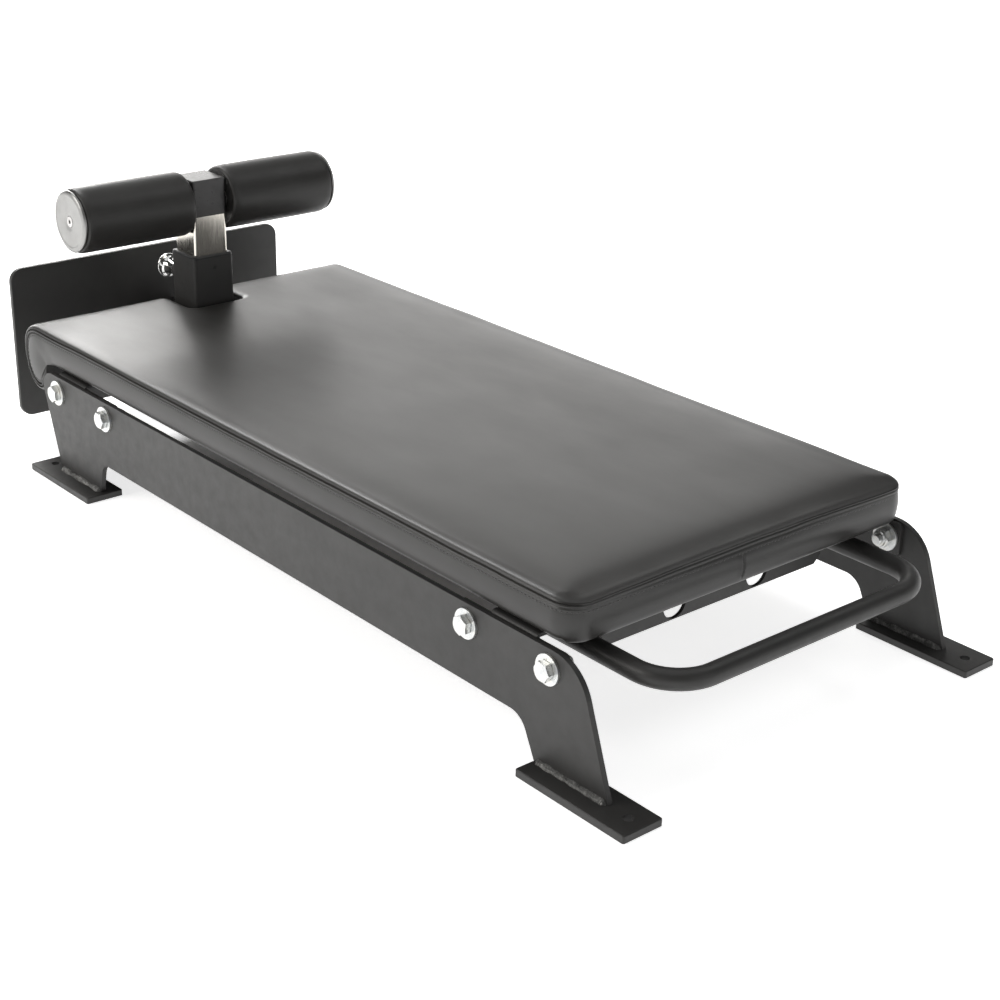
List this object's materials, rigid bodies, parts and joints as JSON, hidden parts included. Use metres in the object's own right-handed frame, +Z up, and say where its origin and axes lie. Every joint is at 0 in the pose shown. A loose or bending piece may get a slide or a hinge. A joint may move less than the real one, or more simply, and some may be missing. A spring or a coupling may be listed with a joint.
{
  "type": "roman chair",
  "caption": "Low floor-standing hamstring curl bench: long padded board on bolted side plates, ankle rollers on a sliding post, heel plate and front grab handle.",
  "frame": {"origin": "on the floor, in the middle of the overall length and width", "axes": "+X from the foot plate at the rear towards the grab handle at the front, +Z up, Y = 0 is the centre plane"},
  "size_m": [1.274, 0.548, 0.3607],
  "materials": {
    "powder_black": "satin fine-texture powder coat",
    "weld_silver": "rough weld bead, silver-grey",
    "zinc": "bright zinc plate",
    "chrome": "polished nickel-chrome",
    "steel": "ground",
    "roller_rubber": "smooth satin",
    "nylon": "matt",
    "head_black": "satin",
    "vinyl": "soft satin vinyl",
    "plywood": "stained black"
  },
  "bodies": {
    "frame": {"bracket_plate_left": "powder_black", "bracket_plate_right": "powder_black", "bracket_welds": "powder_black", "foot_front_left": "powder_black", "foot_front_right": "powder_black", "foot_rear_left": "powder_black", "foot_rear_right": "powder_black", "foot_welds": "weld_silver", "footplate": "powder_black", "front_crossmember": "powder_black", "handle_lugs": "powder_black", "handle_plugs": "nylon", "handle_tube": "powder_black", "hex_bolts": "zinc", "inner_washers": "zinc", "lock_nuts": "zinc", "outer_washers": "zinc", "pad_board": "plywood", "pad_cushion": "vinyl", "pad_inserts": "zinc", "pad_screws": "zinc", "pad_washers": "zinc", "pin_barrel": "powder_black", "rear_crossmember": "powder_black", "side_plate_left": "powder_black", "side_plate_right": "powder_black", "socket_liner": "nylon", "socket_tube": "powder_black"},
    "post": {"post_tube": "chrome", "post_plug": "nylon", "head_block": "head_black", "axle": "steel", "thrust_washers": "nylon", "end_cap_left": "chrome", "end_cap_right": "chrome", "cap_screws": "steel"},
    "pin": {"pin_rod": "steel", "pin_spring": "steel", "pin_knob": "chrome"},
    "roller_left": {"roller_core_left": "steel", "roller_sleeve_left": "roller_rubber", "roller_bushes_left": "nylon"},
    "roller_right": {"roller_core_right": "steel", "roller_sleeve_right": "roller_rubber", "roller_bushes_right": "nylon"}
  },
  "joints": [
    {"name": "post_slide", "type": "slide", "parent": "frame", "child": "post", "axis": [0, 0, 1], "range_m": [-0.025, 0.075]},
    {"name": "pin_pull", "type": "slide", "parent": "frame", "child": "pin", "axis": [-1, 0, 0], "range_m": [0, 0.01], "stiffness_N_per_m": 1500, "springref_m": -0.005},
    {"name": "roller_left_spin", "type": "hinge", "parent": "post", "child": "roller_left", "pos_m": [-0.49, -0.108, 0.3185], "axis": [0, 1, 0], "continuous": true},
    {"name": "roller_right_spin", "type": "hinge", "parent": "post", "child": "roller_right", "pos_m": [-0.49, 0.108, 0.3185], "axis": [0, 1, 0], "continuous": true}
  ]
}
